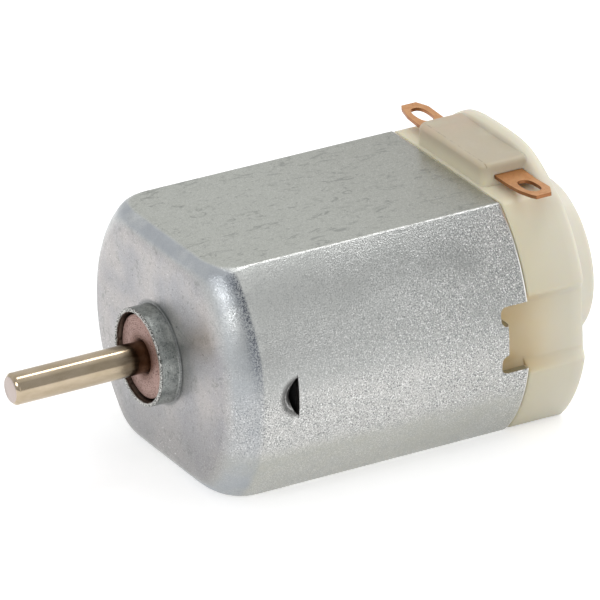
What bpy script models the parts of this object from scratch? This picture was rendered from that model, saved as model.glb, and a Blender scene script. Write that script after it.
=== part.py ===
"""A small brushed DC motor with a flat-sided steel can, modelled as the pieces it is assembled from.

Frame: metres, +Z up. The shaft lies along Y and points to -Y, which is the motor's front. The motor rests on
the lower flat of its can, so the origin is the middle of the footprint, and the shaft axis is above it.
Stations along the shaft are given as distances behind the can's front face.
"""

import math

import bmesh
import bpy
from mathutils import Matrix, Vector

MM = 0.001
GAP = 0.05 * MM  # left between pieces that touch
RUNNING_GAP = 0.03 * MM  # between the shaft and its two bearings

# Can
CAN_RADIUS = 10.05 * MM
CAN_HALF_HEIGHT = 7.55 * MM
CAN_LENGTH = 20.15 * MM
CAN_WALL = 0.5 * MM
ROUND_SIDE_FILLET = 2.6 * MM
FLAT_SIDE_FILLET = 1.35 * MM
NOSE_RADIUS = 3.075 * MM
NOSE_LENGTH = 1.4 * MM
CRIMP_NOTCH_HALF_WIDTH = 2.2 * MM
CRIMP_NOTCH_START = 18.15 * MM
CRIMP_TAB_HALF_WIDTH = 0.92 * MM
CRIMP_FOLD = 18.63 * MM
CRIMP_TAB_REACH = 1.45 * MM
LANCE_EDGE = 4.25 * MM
LANCE_HALF_WIDTH = 1.2 * MM
LANCE_DEPTH = 1.0 * MM

# Shaft and bearings
SHAFT_RADIUS = 1.0 * MM
SHAFT_FRONT = -10.0 * MM
SHAFT_REAR = 28.0 * MM
SHAFT_CHAMFER = 0.25 * MM
BEARING_BORE = SHAFT_RADIUS + RUNNING_GAP
FRONT_BEARING = (-1.1 * MM, 0.9 * MM)
REAR_BEARING = (22.2 * MM, 25.2 * MM)
REAR_BEARING_RADIUS = 2.4 * MM
BEARING_CHAMFER = 0.2 * MM

# Magnets and the spring that spreads them
MAGNET_INNER = 6.95 * MM
MAGNET_HALF_ANGLE = math.radians(40)
MAGNET_SPAN = (LANCE_EDGE + 0.15 * MM, 16.9 * MM)
CLIP_WIRE = 0.35 * MM
CLIP_PITCH_RADIUS = 8.2 * MM
CLIP_SPAN = (2.7 * MM, 15.5 * MM)
CLIP_BEND = 1.2 * MM

# Armature
CORE_RADIUS = 6.6 * MM
CORE_START = 6.2 * MM
LAMINATION_COUNT = 16
LAMINATION_PITCH = 0.5 * MM
CORE_END = CORE_START + LAMINATION_COUNT * LAMINATION_PITCH
POLE_COUNT = 3
POLE_HALF_ANGLE = math.radians(50)
POLE_INNER = 5.7 * MM
NECK_HALF_WIDTH = 1.1 * MM
HUB_RADIUS = 2.2 * MM
SHAFT_SEAT = SHAFT_RADIUS + 0.02 * MM
WASHER_RADIUS = 2.2 * MM
WASHER_THICKNESS = 0.3 * MM
FRONT_WASHER_START = 1.2 * MM
SPACER_RADIUS = 1.8 * MM
SHEET_GAP = 0.02 * MM
INSULATOR_THICKNESS = 0.75 * MM
COIL_HALF_WIDTH = 3.0 * MM
COIL_WINDOW = 1.25 * MM
COIL_HEAD = 1.2 * MM
COIL_RADII = (2.5 * MM, 4.45 * MM)

# Commutator
COMMUTATOR_RADIUS = 2.3 * MM
SEGMENT_WALL = 0.37 * MM
SEGMENT_HALF_ANGLE = math.radians(56)
SEGMENT_SPAN = (16.9 * MM, 21.0 * MM)
RISER_RADIUS = 3.9 * MM
RISER_START = 16.4 * MM
RISER_HALF_WIDTH = 0.5 * MM
HUB_END = 21.4 * MM
RING_RADIUS = 3.3 * MM
RING_THICKNESS = 0.5 * MM

# End cap
CAP_FRONT = 17.0 * MM
CAP_SHOULDER = CAN_LENGTH + GAP
CAP_REAR = 24.2 * MM
CAP_SPIGOT_RADIUS = CAN_RADIUS - CAN_WALL - GAP
CAP_SPIGOT_HALF_HEIGHT = CAN_HALF_HEIGHT - CAN_WALL - GAP
CAVITY_RADIUS = 7.7 * MM
CAVITY_HALF_HEIGHT = 5.9 * MM
BACK_PLATE = 1.0 * MM
HUMP_HEIGHT = 9.5 * MM
REAR_BOSS_RADIUS = 5.05 * MM
REAR_BOSS_END = 27.6 * MM
REAR_BORE_END = REAR_BEARING[1] + GAP
SHAFT_HOLE = 1.25 * MM
GROOVE_HALF_WIDTH = 2.3 * MM
BLOCK_HALF_LENGTH = 4.1 * MM
BLOCK_SPAN = (20.4 * MM, 23.4 * MM)
BLOCK_TOP = 8.95 * MM
BLOCK_ROUNDING = 0.3 * MM

# Terminals and brushes
TERMINAL_THICKNESS = 0.25 * MM
TERMINAL_SPAN = (21.2 * MM, 23.1 * MM)
TERMINAL_FOOT = 17.9 * MM
TERMINAL_LEG = 3.3 * MM
TERMINAL_HEIGHT = 8.08 * MM
TERMINAL_SAG = 0.08 * MM
TERMINAL_RISE = 0.25 * MM
TERMINAL_FLAT = (4.4 * MM, 5.6 * MM)
TERMINAL_WIDE = 7.3 * MM
TERMINAL_TIP = 8.35 * MM
TERMINAL_TIP_INSET = 0.45 * MM
EYE_CENTRE = 6.65 * MM
EYE_HALF_SIZES = (1.0 * MM, 0.5 * MM)
BRUSH_THICKNESS = 0.12 * MM
BRUSH_SPAN = (18.0 * MM, 19.8 * MM)

ORIGIN_Y = -(SHAFT_FRONT + SHAFT_REAR) / 2  # centres the shaft's length on the origin
AXIS_HEIGHT = CAN_HALF_HEIGHT
ROUND_STEPS = 16  # facets along each round side of the can
FLAT_STEPS = 6
TURNED_STEPS = 32


def at(x, station, z):
    """A point given across the motor, behind the front face and above the shaft axis."""
    return Vector((x, station + ORIGIN_Y, z + AXIS_HEIGHT))


def material(name, colour, metallic, roughness):
    made = bpy.data.materials.new(name)
    made.use_nodes = True
    shader = made.node_tree.nodes["Principled BSDF"]
    shader.inputs["Base Color"].default_value = (*colour, 1.0)
    shader.inputs["Metallic"].default_value = metallic
    shader.inputs["Roughness"].default_value = roughness
    return made


def clear_scene():
    for obj in list(bpy.data.objects):
        bpy.data.objects.remove(obj)


def new_collection(name):
    made = bpy.data.collections.new(name)
    bpy.context.scene.collection.children.link(made)
    return made


clear_scene()
MOTOR = new_collection("electric_motor")
CUTTERS = new_collection("cutters")
STEEL = material("zinc_plated_steel", (0.62, 0.63, 0.62), 0.9, 0.45)
SHAFT_STEEL = material("ground_steel", (0.66, 0.60, 0.50), 1.0, 0.25)
BRONZE = material("sintered_bronze", (0.60, 0.38, 0.31), 0.7, 0.6)
FERRITE = material("ferrite", (0.06, 0.06, 0.065), 0.2, 0.7)
SPRING_STEEL = material("spring_steel", (0.45, 0.45, 0.46), 1.0, 0.35)
CORE_STEEL = material("core_steel", (0.35, 0.36, 0.38), 0.9, 0.5)
ENAMEL = material("enamelled_wire", (0.55, 0.20, 0.08), 0.6, 0.35)
COPPER = material("copper_strip", (0.78, 0.42, 0.25), 1.0, 0.35)
NYLON = material("natural_nylon", (0.80, 0.75, 0.62), 0.0, 0.5)
INSULATION = material("insulation", (0.75, 0.12, 0.08), 0.0, 0.5)
FIBRE = material("washer_fibre", (0.28, 0.14, 0.08), 0.0, 0.7)


def add(obj, surface=None, collection=MOTOR):
    """Links an object to its collection, gives it its surface and returns it."""
    for old in list(obj.users_collection):
        old.objects.unlink(obj)
    collection.objects.link(obj)
    if surface:
        obj.data.materials.clear()
        obj.data.materials.append(surface)
    if collection is CUTTERS:
        obj.hide_render = True
        obj.display_type = "WIRE"
    return obj


def mesh_object(name, bm, surface=None, collection=MOTOR):
    bmesh.ops.recalc_face_normals(bm, faces=bm.faces)
    mesh = bpy.data.meshes.new(name)
    bm.to_mesh(mesh)
    bm.free()
    return add(bpy.data.objects.new(name, mesh), surface, collection)


def smooth(obj, degrees=35):
    obj.data.shade_smooth()
    obj.data.set_sharp_from_angle(angle=math.radians(degrees))
    return obj


def boolean(obj, other, operation):
    modifier = obj.modifiers.new(f"{operation.lower()} {other.name}", "BOOLEAN")
    modifier.operation = operation
    modifier.solver = "EXACT"
    modifier.object = other
    return obj


def loft(name, rings, surface=None, collection=MOTOR, ends="open"):
    """Bridges rings of equally many points. ends is open, capped, or looped back to the first ring."""
    bm = bmesh.new()
    rows = [[bm.verts.new(point) for point in ring] for ring in rings]
    pairs = list(zip(rows, rows[1:]))
    if ends == "looped":
        pairs.append((rows[-1], rows[0]))
    for near, far in pairs:
        for i in range(len(near)):
            j = (i + 1) % len(near)
            bm.faces.new((near[i], near[j], far[j], far[i]))
    if ends == "capped":
        bm.faces.new(rows[0])
        bm.faces.new(rows[-1])
    return mesh_object(name, bm, surface, collection)


def flattened_circle(radius, half_height):
    """(x, z) pairs of a circle cut by two level flats, anticlockwise from the lower right corner."""
    corner = math.asin(half_height / radius)
    half_flat = radius * math.cos(corner)
    right = [corner * (2 * i / ROUND_STEPS - 1) for i in range(ROUND_STEPS)]
    points = [(radius * math.cos(a), radius * math.sin(a)) for a in right]
    points += [(half_flat * (1 - 2 * i / FLAT_STEPS), half_height) for i in range(FLAT_STEPS)]
    return points + [(-x, -z) for x, z in points]


def humped(outline, half_height, top):
    """The outline with its upper flat raised into an arc that reaches the given top."""
    level = [x for x, z in outline if z > half_height - GAP]
    half_chord = max(level)
    rise = top - half_height
    radius = (half_chord**2 + rise**2) / (2 * rise)
    centre = top - radius
    return [
        (x, centre + math.sqrt(radius**2 - x**2)) if z > half_height - GAP else (x, z)
        for x, z in outline
    ]


def circle_like(outline, radius):
    """A circle whose points lie on the same rays from the axis as the outline's points."""
    return [(radius * x / math.hypot(x, z), radius * z / math.hypot(x, z)) for x, z in outline]


def ring(outline, station):
    return [at(x, station, z) for x, z in outline]


def turned(name, profile, surface, closed=True):
    """A body turned about the shaft axis. Its profile of (radius, station) pairs runs forwards outside."""
    bm = bmesh.new()
    points = [bm.verts.new((radius, 0, station)) for radius, station in profile]
    for first, second in zip(points, points[1:]):
        bm.edges.new((first, second))
    if closed:
        bm.edges.new((points[-1], points[0]))
    mesh = bpy.data.meshes.new(name)
    bm.to_mesh(mesh)
    bm.free()
    obj = add(bpy.data.objects.new(name, mesh), surface)
    obj.location = at(0, 0, 0)
    obj.rotation_euler.x = -math.pi / 2
    screw = obj.modifiers.new("turn", "SCREW")
    screw.steps = TURNED_STEPS
    screw.render_steps = TURNED_STEPS
    screw.use_smooth_shade = True
    screw.use_merge_vertices = True
    screw.merge_threshold = 0.001 * MM
    return obj


def tube(name, inner, outer, span, surface, chamfer=0.0):
    near, far = span
    return turned(
        name,
        [
            (inner, near),
            (inner, far),
            (outer - chamfer, far),
            (outer, far - chamfer),
            (outer, near + chamfer),
            (outer - chamfer, near),
        ]
        if chamfer
        else [(inner, near), (inner, far), (outer, far), (outer, near)],
        surface,
    )


def plate(name, outlines, span, surface, collection=MOTOR, turn=0.0):
    """Outlines of (x, z) pairs given a thickness along the shaft: the first is the outside, the rest holes."""
    near, far = span
    curve = bpy.data.curves.new(name, "CURVE")
    curve.dimensions = "2D"
    curve.fill_mode = "BOTH"
    curve.extrude = (far - near) / 2
    for outline in outlines:
        spline = curve.splines.new("POLY")
        spline.points.add(len(outline) - 1)
        for point, (x, z) in zip(spline.points, outline):
            point.co = (x, z, 0, 1)
        spline.use_cyclic_u = True
    drawn = bpy.data.objects.new(name + "_outline", curve)
    bpy.context.scene.collection.objects.link(drawn)
    drawn.matrix_world = (
        Matrix.Translation(at(0, (near + far) / 2, 0))
        @ Matrix.Rotation(-turn, 4, "Y")
        @ Matrix.Rotation(math.pi / 2, 4, "X")
    )
    return welded_mesh(name, drawn, surface, collection)


def welded_mesh(name, drawn, surface, collection=MOTOR):
    """The closed mesh of a curve object, which it replaces."""
    bpy.context.view_layer.update()
    graph = bpy.context.evaluated_depsgraph_get()
    mesh = bpy.data.meshes.new_from_object(drawn.evaluated_get(graph))
    bm = bmesh.new()
    bm.from_mesh(mesh)
    bmesh.ops.remove_doubles(bm, verts=bm.verts, dist=0.001 * MM)
    bmesh.ops.recalc_face_normals(bm, faces=bm.faces)
    bm.to_mesh(mesh)
    bm.free()
    mesh.name = name
    obj = bpy.data.objects.new(name, mesh)
    obj.matrix_world = drawn.matrix_world.copy()
    bpy.data.objects.remove(drawn)
    return add(obj, surface, collection)


def box(name, low, high, surface=None, collection=CUTTERS):
    """A block between two corners given as (x, station, z)."""
    bm = bmesh.new()
    bmesh.ops.create_cube(bm, size=1.0)
    low, high = at(*low), at(*high)
    size = high - low
    bmesh.ops.scale(bm, vec=size, verts=bm.verts)
    bmesh.ops.translate(bm, vec=(low + high) / 2, verts=bm.verts)
    return mesh_object(name, bm, surface, collection)


def strip(name, path, thickness, surface=None, collection=MOTOR):
    """A bent strip of sheet. path holds (x, z, near, far): its middle line and the stations of its edges."""
    rings = []
    for i, (x, z, near, far) in enumerate(path):
        before = path[max(i - 1, 0)]
        beyond = path[min(i + 1, len(path) - 1)]
        into = Vector((x - before[0], z - before[1])).normalized()
        out = Vector((beyond[0] - x, beyond[1] - z)).normalized()
        along = (into + out).normalized()
        across = Vector((-along.y, along.x))
        stretch = thickness / 2 / along.dot(into if i else out)
        inner = (x + across.x * stretch, z + across.y * stretch)
        outer = (x - across.x * stretch, z - across.y * stretch)
        rings.append(
            [
                at(inner[0], near, inner[1]),
                at(inner[0], far, inner[1]),
                at(outer[0], far, outer[1]),
                at(outer[0], near, outer[1]),
            ]
        )
    return loft(name, rings, surface, collection, ends="capped")


def mirrored(path, side):
    return [(side * x, z, near, far) for x, z, near, far in path]


def fillet_inset(radius, station):
    """How far a rounded front edge has drawn in at this station."""
    if station >= radius:
        return 0.0
    return radius - math.sqrt(radius**2 - (radius - station) ** 2)


def build_can():
    """One drawn shell: body, rounded front edge, front face and the nose that holds the bearing."""
    body = flattened_circle(CAN_RADIUS, CAN_HALF_HEIGHT)
    rings = [ring(body, CAN_LENGTH), ring(body, ROUND_SIDE_FILLET)]
    for share in (0.62, 0.36, 0.17, 0.045, 0.0):
        station = ROUND_SIDE_FILLET * share
        outline = flattened_circle(
            CAN_RADIUS - fillet_inset(ROUND_SIDE_FILLET, station),
            CAN_HALF_HEIGHT - fillet_inset(FLAT_SIDE_FILLET, station),
        )
        rings.append(ring(outline, station))
    nose = circle_like(outline, NOSE_RADIUS)
    rings += [ring(nose, 0), ring(nose, -NOSE_LENGTH)]
    can = loft("can", rings, STEEL)
    shell = can.modifiers.new("sheet", "SOLIDIFY")
    shell.thickness = CAN_WALL
    shell.offset = -1
    shell.use_even_offset = True
    cut_crimp_notches(can)
    cut_lances(can)
    return smooth(can)


def cut_crimp_notches(can):
    """Each round side has two slots at the rim, and the tab between them is folded inwards."""
    beyond = 2 * CAN_RADIUS
    reach = CAN_LENGTH + MM
    for side, name in ((1, "right"), (-1, "left")):
        xs = sorted((side * beyond, side * CAVITY_RADIUS))
        for edge, label in ((1, "upper"), (-1, "lower")):
            zs = sorted((edge * CRIMP_TAB_HALF_WIDTH, edge * CRIMP_NOTCH_HALF_WIDTH))
            slot = box(
                f"{name}_{label}_slot_cutter",
                (xs[0], CRIMP_NOTCH_START, zs[0]),
                (xs[1], reach, zs[1]),
            )
            boolean(can, slot, "DIFFERENCE")
        end = box(
            f"{name}_tab_end_cutter",
            (xs[0], CRIMP_FOLD, -CRIMP_TAB_HALF_WIDTH - GAP),
            (xs[1], reach, CRIMP_TAB_HALF_WIDTH + GAP),
        )
        boolean(can, end, "DIFFERENCE")
        xs = sorted((side * (CAN_RADIUS - CRIMP_TAB_REACH), side * (CAN_RADIUS - 2 * GAP)))
        tab = box(
            f"{name}_tab",
            (xs[0], CRIMP_FOLD - CAN_WALL / 2, -CRIMP_TAB_HALF_WIDTH + GAP),
            (xs[1], CRIMP_FOLD + CAN_WALL / 2, CRIMP_TAB_HALF_WIDTH - GAP),
        )
        boolean(can, tab, "UNION")


def cut_lances(can):
    """A half-moon opening in each round side, beside the lanced lip that the magnet stops on."""
    for side, name in ((1, "right"), (-1, "left")):
        steps = 8
        angles = [math.pi / 2 + math.pi * i / steps for i in range(steps + 1)]
        moon = [
            (LANCE_EDGE + LANCE_DEPTH * math.cos(a), LANCE_HALF_WIDTH * math.sin(a))
            for a in angles
        ]
        rings = [
            [at(side * x, station, z) for station, z in moon]
            for x in (CAVITY_RADIUS, CAN_RADIUS + MM)
        ]
        cutter = loft(f"{name}_lance_cutter", rings, collection=CUTTERS, ends="capped")
        boolean(can, cutter, "DIFFERENCE")


def build_bearings():
    nose_bore = NOSE_RADIUS - CAN_WALL
    tube("front_bearing", BEARING_BORE, nose_bore - GAP, FRONT_BEARING, BRONZE, BEARING_CHAMFER)
    tube("rear_bearing", BEARING_BORE, REAR_BEARING_RADIUS, REAR_BEARING, BRONZE, BEARING_CHAMFER)


def sector(inner, outer, half_angle, steps, middle=0.0):
    """Outline of part of a flat ring, symmetric about the given direction."""
    angles = [middle + half_angle * (2 * i / steps - 1) for i in range(steps + 1)]
    far = [(outer * math.cos(a), outer * math.sin(a)) for a in angles]
    near = [(inner * math.cos(a), inner * math.sin(a)) for a in reversed(angles)]
    return far + near


def build_magnets():
    outer = CAN_RADIUS - CAN_WALL - GAP
    for name, middle in (("magnet_right", 0.0), ("magnet_left", math.pi)):
        outline = sector(MAGNET_INNER, outer, MAGNET_HALF_ANGLE, 12, middle)
        plate(name, [outline], MAGNET_SPAN, FERRITE)


def build_magnet_clip():
    """A wire spring under the armature. Its legs press the lower ends of the two magnets apart."""
    angle = MAGNET_HALF_ANGLE + math.asin((CLIP_WIRE + GAP) / CLIP_PITCH_RADIUS)
    leg = CLIP_PITCH_RADIUS * math.cos(angle)
    height = -CLIP_PITCH_RADIUS * math.sin(angle)
    front, rear = CLIP_SPAN
    steps = 4
    arc = [math.pi / 2 * i / steps for i in range(steps + 1)]
    half = [(leg, rear)]
    for a in arc:
        half.append((leg - CLIP_BEND * (1 - math.cos(a)), front + CLIP_BEND * (1 - math.sin(a))))
    route = half + [(-x, station) for x, station in reversed(half)]
    curve = bpy.data.curves.new("magnet_clip", "CURVE")
    curve.dimensions = "3D"
    curve.bevel_depth = CLIP_WIRE
    curve.bevel_resolution = 2
    curve.use_fill_caps = True
    spline = curve.splines.new("POLY")
    spline.points.add(len(route) - 1)
    for point, (x, station) in zip(spline.points, route):
        point.co = (*at(x, station, height), 1)
    drawn = bpy.data.objects.new("clip_route", curve)
    bpy.context.scene.collection.objects.link(drawn)
    welded_mesh("magnet_clip", drawn, SPRING_STEEL)


def pole_outline(radius, hub, neck, head_inner, head_half_angle):
    """Outline of a sheet with three T-shaped poles, the first one pointing up."""
    neck_at_head = math.asin(neck / head_inner)
    neck_at_hub = math.asin(neck / hub)
    steps = 6
    head = [head_half_angle * (2 * i / steps - 1) for i in range(steps + 1)]
    points = []
    for pole in range(POLE_COUNT):
        middle = math.pi / 2 + 2 * math.pi * pole / POLE_COUNT
        around = [(hub, -neck_at_hub), (head_inner, -neck_at_head), (head_inner, -head_half_angle)]
        around += [(radius, a) for a in head]
        around += [(head_inner, head_half_angle), (head_inner, neck_at_head), (hub, neck_at_hub)]
        points += [(r * math.cos(middle + a), r * math.sin(middle + a)) for r, a in around]
    return points


def bore_outline(radius, steps=18):
    angles = [2 * math.pi * i / steps for i in range(steps)]
    return [(radius * math.cos(a), radius * math.sin(a)) for a in angles]


def build_core():
    sheet = [
        pole_outline(CORE_RADIUS, HUB_RADIUS, NECK_HALF_WIDTH, POLE_INNER, POLE_HALF_ANGLE),
        bore_outline(SHAFT_SEAT),
    ]
    for i in range(LAMINATION_COUNT):
        near = CORE_START + i * LAMINATION_PITCH
        span = (near, near + LAMINATION_PITCH - SHEET_GAP)
        plate(f"lamination_{i + 1:02d}", sheet, span, CORE_STEEL)


def build_insulators():
    """Plastic end plates that keep the wire off the core's edges."""
    outline = pole_outline(
        CORE_RADIUS - 0.3 * MM,
        HUB_RADIUS,
        NECK_HALF_WIDTH,
        POLE_INNER,
        POLE_HALF_ANGLE - math.radians(4),
    )
    bore = bore_outline(SHAFT_SEAT)
    spans = {
        "front_insulator": (CORE_START - GAP - INSULATOR_THICKNESS, CORE_START - GAP),
        "rear_insulator": (CORE_END + GAP, CORE_END + GAP + INSULATOR_THICKNESS),
    }
    for name, span in spans.items():
        plate(name, [outline, bore], span, INSULATION)


def rounded_rectangle(half_x, half_y, radius, steps=4):
    points = []
    corners = ((1, -1, -90), (1, 1, 0), (-1, 1, 90), (-1, -1, 180))
    for sign_x, sign_y, start in corners:
        for i in range(steps + 1):
            a = math.radians(start + 90 * i / steps)
            x = sign_x * (half_x - radius) + radius * math.cos(a)
            points.append((x, sign_y * (half_y - radius) + radius * math.sin(a)))
    return points


def build_coils():
    """One winding round each pole's neck, stood off from the shaft, with its origin on the axis."""
    window = (CORE_END - CORE_START) / 2 + INSULATOR_THICKNESS + 2 * GAP
    middle = (CORE_START + CORE_END) / 2
    near, far = COIL_RADII
    for pole in range(POLE_COUNT):
        curve = bpy.data.curves.new(f"coil_{pole + 1}", "CURVE")
        curve.dimensions = "2D"
        curve.fill_mode = "BOTH"
        curve.extrude = (far - near) / 2
        outer = rounded_rectangle(COIL_HALF_WIDTH, window + COIL_HEAD, 1.2 * MM)
        inner = rounded_rectangle(COIL_WINDOW, window, 0.2 * MM, steps=2)
        for outline in (outer, inner):
            spline = curve.splines.new("POLY")
            spline.points.add(len(outline) - 1)
            for point, (x, y) in zip(spline.points, outline):
                point.co = (x, y, 0, 1)
            spline.use_cyclic_u = True
        drawn = bpy.data.objects.new("coil_outline", curve)
        bpy.context.scene.collection.objects.link(drawn)
        turn = Matrix.Rotation(-2 * math.pi * pole / POLE_COUNT, 4, "Y")
        drawn.matrix_world = Matrix.Translation(at(0, middle, 0)) @ turn
        coil = welded_mesh(f"coil_{pole + 1}", drawn, ENAMEL)
        coil.data.transform(Matrix.Translation((0, 0, (near + far) / 2)))


def build_commutator():
    hub_radius = COMMUTATOR_RADIUS - SEGMENT_WALL - 0.03 * MM
    hub_start = CORE_END + INSULATOR_THICKNESS + 2 * GAP
    tube("commutator_hub", SHAFT_SEAT, hub_radius, (hub_start, HUB_END), INSULATION)
    for i in range(POLE_COUNT):
        middle = math.pi / 2 + 2 * math.pi * i / POLE_COUNT
        inner = COMMUTATOR_RADIUS - SEGMENT_WALL
        outline = sector(inner, COMMUTATOR_RADIUS, SEGMENT_HALF_ANGLE, 10, middle)
        segment = plate(f"commutator_segment_{i + 1}", [outline], SEGMENT_SPAN, COPPER)
        middle_wall = (inner + COMMUTATOR_RADIUS) / 2
        across = [
            (middle_wall, -RISER_HALF_WIDTH),
            (RISER_RADIUS, -RISER_HALF_WIDTH),
            (RISER_RADIUS, RISER_HALF_WIDTH),
            (middle_wall, RISER_HALF_WIDTH),
        ]
        c, s = math.cos(middle), math.sin(middle)
        turned_outline = [(x * c - z * s, x * s + z * c) for x, z in across]
        riser_span = (RISER_START, SEGMENT_SPAN[0] + 0.1 * MM)
        riser = plate(f"riser_{i + 1}", [turned_outline], riser_span, COPPER, CUTTERS)
        boolean(segment, riser, "UNION")
    ring_start = SEGMENT_SPAN[0] + 0.2 * MM
    ring_span = (ring_start, ring_start + RING_THICKNESS)
    tube("commutator_ring", COMMUTATOR_RADIUS + GAP, RING_RADIUS, ring_span, FIBRE)


def build_shaft():
    turned(
        "shaft",
        [
            (0, SHAFT_REAR),
            (SHAFT_RADIUS - SHAFT_CHAMFER, SHAFT_REAR),
            (SHAFT_RADIUS, SHAFT_REAR - SHAFT_CHAMFER),
            (SHAFT_RADIUS, SHAFT_FRONT + SHAFT_CHAMFER),
            (SHAFT_RADIUS - SHAFT_CHAMFER, SHAFT_FRONT),
            (0, SHAFT_FRONT),
        ],
        SHAFT_STEEL,
        closed=False,
    )
    washer_end = FRONT_WASHER_START + WASHER_THICKNESS
    spacer_end = CORE_START - INSULATOR_THICKNESS - 2 * GAP
    rear_start = HUB_END + GAP
    tube("front_washer", SHAFT_SEAT, WASHER_RADIUS, (FRONT_WASHER_START, washer_end), FIBRE)
    tube("front_spacer", SHAFT_SEAT, SPACER_RADIUS, (washer_end + GAP, spacer_end), INSULATION)
    tube("rear_washer", SHAFT_SEAT, WASHER_RADIUS, (rear_start, rear_start + WASHER_THICKNESS), FIBRE)


def build_end_cap():
    """A moulded cup. Its section steps out from the spigot to the flange, then in to the bearing boss."""
    spigot = flattened_circle(CAP_SPIGOT_RADIUS, CAP_SPIGOT_HALF_HEIGHT)
    flange = flattened_circle(CAN_RADIUS, CAN_HALF_HEIGHT)
    back = humped(flange, CAN_HALF_HEIGHT, HUMP_HEIGHT)
    cavity = flattened_circle(CAVITY_RADIUS, CAVITY_HALF_HEIGHT)
    boss = circle_like(flange, REAR_BOSS_RADIUS)
    hole = circle_like(flange, SHAFT_HOLE)
    bore = circle_like(flange, REAR_BEARING_RADIUS + GAP)
    floor = CAP_REAR - BACK_PLATE
    sections = [
        (cavity, floor),
        (cavity, CAP_FRONT),
        (spigot, CAP_FRONT),
        (spigot, CAP_SHOULDER),
        (flange, CAP_SHOULDER),
        (flange, floor),
        (back, floor),
        (back, CAP_REAR),
        (boss, CAP_REAR),
        (boss, REAR_BOSS_END),
        (hole, REAR_BOSS_END),
        (hole, REAR_BORE_END),
        (bore, REAR_BORE_END),
        (bore, floor),
    ]
    rings = [ring(outline, station) for outline, station in sections]
    cap = loft("end_cap", rings, NYLON, ends="looped")
    block = box(
        "terminal_block",
        (-BLOCK_HALF_LENGTH, BLOCK_SPAN[0], CAN_HALF_HEIGHT - 0.4 * MM),
        (BLOCK_HALF_LENGTH, BLOCK_SPAN[1], BLOCK_TOP),
    )
    rounding = block.modifiers.new("rounding", "BEVEL")
    rounding.width = BLOCK_ROUNDING
    rounding.segments = 2
    boolean(cap, block, "UNION")
    cut_side_grooves(cap)
    cut_terminal_slots(cap)
    return smooth(cap)


def cut_side_grooves(cap):
    """The crimp tabs fold into a pocket, from which a shallow groove runs out to the rear."""
    pocket_front = CRIMP_FOLD - CAN_WALL / 2 - GAP
    beyond = CAP_REAR + MM
    outline = [
        (CAN_RADIUS - CRIMP_TAB_REACH - 2 * GAP, pocket_front),
        (CAN_RADIUS - CRIMP_TAB_REACH - 2 * GAP, CRIMP_FOLD + CAN_WALL),
        (CAN_RADIUS - 0.95 * MM, CAN_LENGTH),
        (CAN_RADIUS - 0.75 * MM, beyond),
        (CAN_RADIUS + MM, beyond),
        (CAN_RADIUS + MM, pocket_front),
    ]
    for side, name in ((1, "right"), (-1, "left")):
        rings = [
            [at(side * x, station, z) for x, station in outline]
            for z in (-GROOVE_HALF_WIDTH, GROOVE_HALF_WIDTH)
        ]
        cutter = loft(f"{name}_groove_cutter", rings, collection=CUTTERS, ends="capped")
        boolean(cap, cutter, "DIFFERENCE")


def terminal_path():
    """Middle line of the right-hand terminal, from its foot in the cavity up and out to its eyed tip."""
    near, far = TERMINAL_SPAN
    leg, top = TERMINAL_LEG, TERMINAL_HEIGHT
    return [
        (leg, 3.5 * MM, TERMINAL_FOOT, far),
        (leg, 5.4 * MM, TERMINAL_FOOT, far),
        (leg, 5.5 * MM, near, far),
        (leg, top - 0.35 * MM, near, far),
        (leg + 0.1 * MM, top - 0.1 * MM, near, far),
        (leg + 0.35 * MM, top, near, far),
        (TERMINAL_FLAT[0], top - TERMINAL_SAG, near, far),
        (TERMINAL_FLAT[1], top - TERMINAL_SAG, near, far),
        (TERMINAL_WIDE, top + TERMINAL_RISE / 2, near, far),
        (TERMINAL_TIP, top + TERMINAL_RISE, near + TERMINAL_TIP_INSET, far - TERMINAL_TIP_INSET),
    ]


def cut_terminal_slots(cap):
    """Each terminal passes through the cap's roof and out of the end of the block."""
    near, far = TERMINAL_SPAN
    leg, top = TERMINAL_LEG, TERMINAL_HEIGHT
    edges = (near - GAP, far + GAP)
    path = [
        (leg, CAVITY_HALF_HEIGHT - MM, *edges),
        (leg, top - 0.35 * MM, *edges),
        (leg + 0.1 * MM, top - 0.1 * MM, *edges),
        (leg + 0.35 * MM, top, *edges),
        (TERMINAL_FLAT[0], top - TERMINAL_SAG, *edges),
    ]
    clearance = TERMINAL_THICKNESS + 2 * GAP
    for side, name in ((1, "right"), (-1, "left")):
        slot = f"{name}_terminal_slot_cutter"
        cutter = strip(slot, mirrored(path, side), clearance, collection=CUTTERS)
        boolean(cap, cutter, "DIFFERENCE")


def build_terminals():
    for side, name in ((1, "terminal_right"), (-1, "terminal_left")):
        terminal = strip(name, mirrored(terminal_path(), side), TERMINAL_THICKNESS, COPPER)
        middle = sum(TERMINAL_SPAN) / 2
        half_x, half_y = EYE_HALF_SIZES
        steps = 16
        eye = [
            (
                side * EYE_CENTRE + half_x * math.cos(2 * math.pi * i / steps),
                middle + half_y * math.sin(2 * math.pi * i / steps),
            )
            for i in range(steps)
        ]
        rings = [
            [at(x, station, z) for x, station in eye]
            for z in (TERMINAL_HEIGHT - MM, TERMINAL_HEIGHT + MM)
        ]
        cutter = loft(f"{name}_eye_cutter", rings, collection=CUTTERS, ends="capped")
        boolean(terminal, cutter, "DIFFERENCE")


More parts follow.
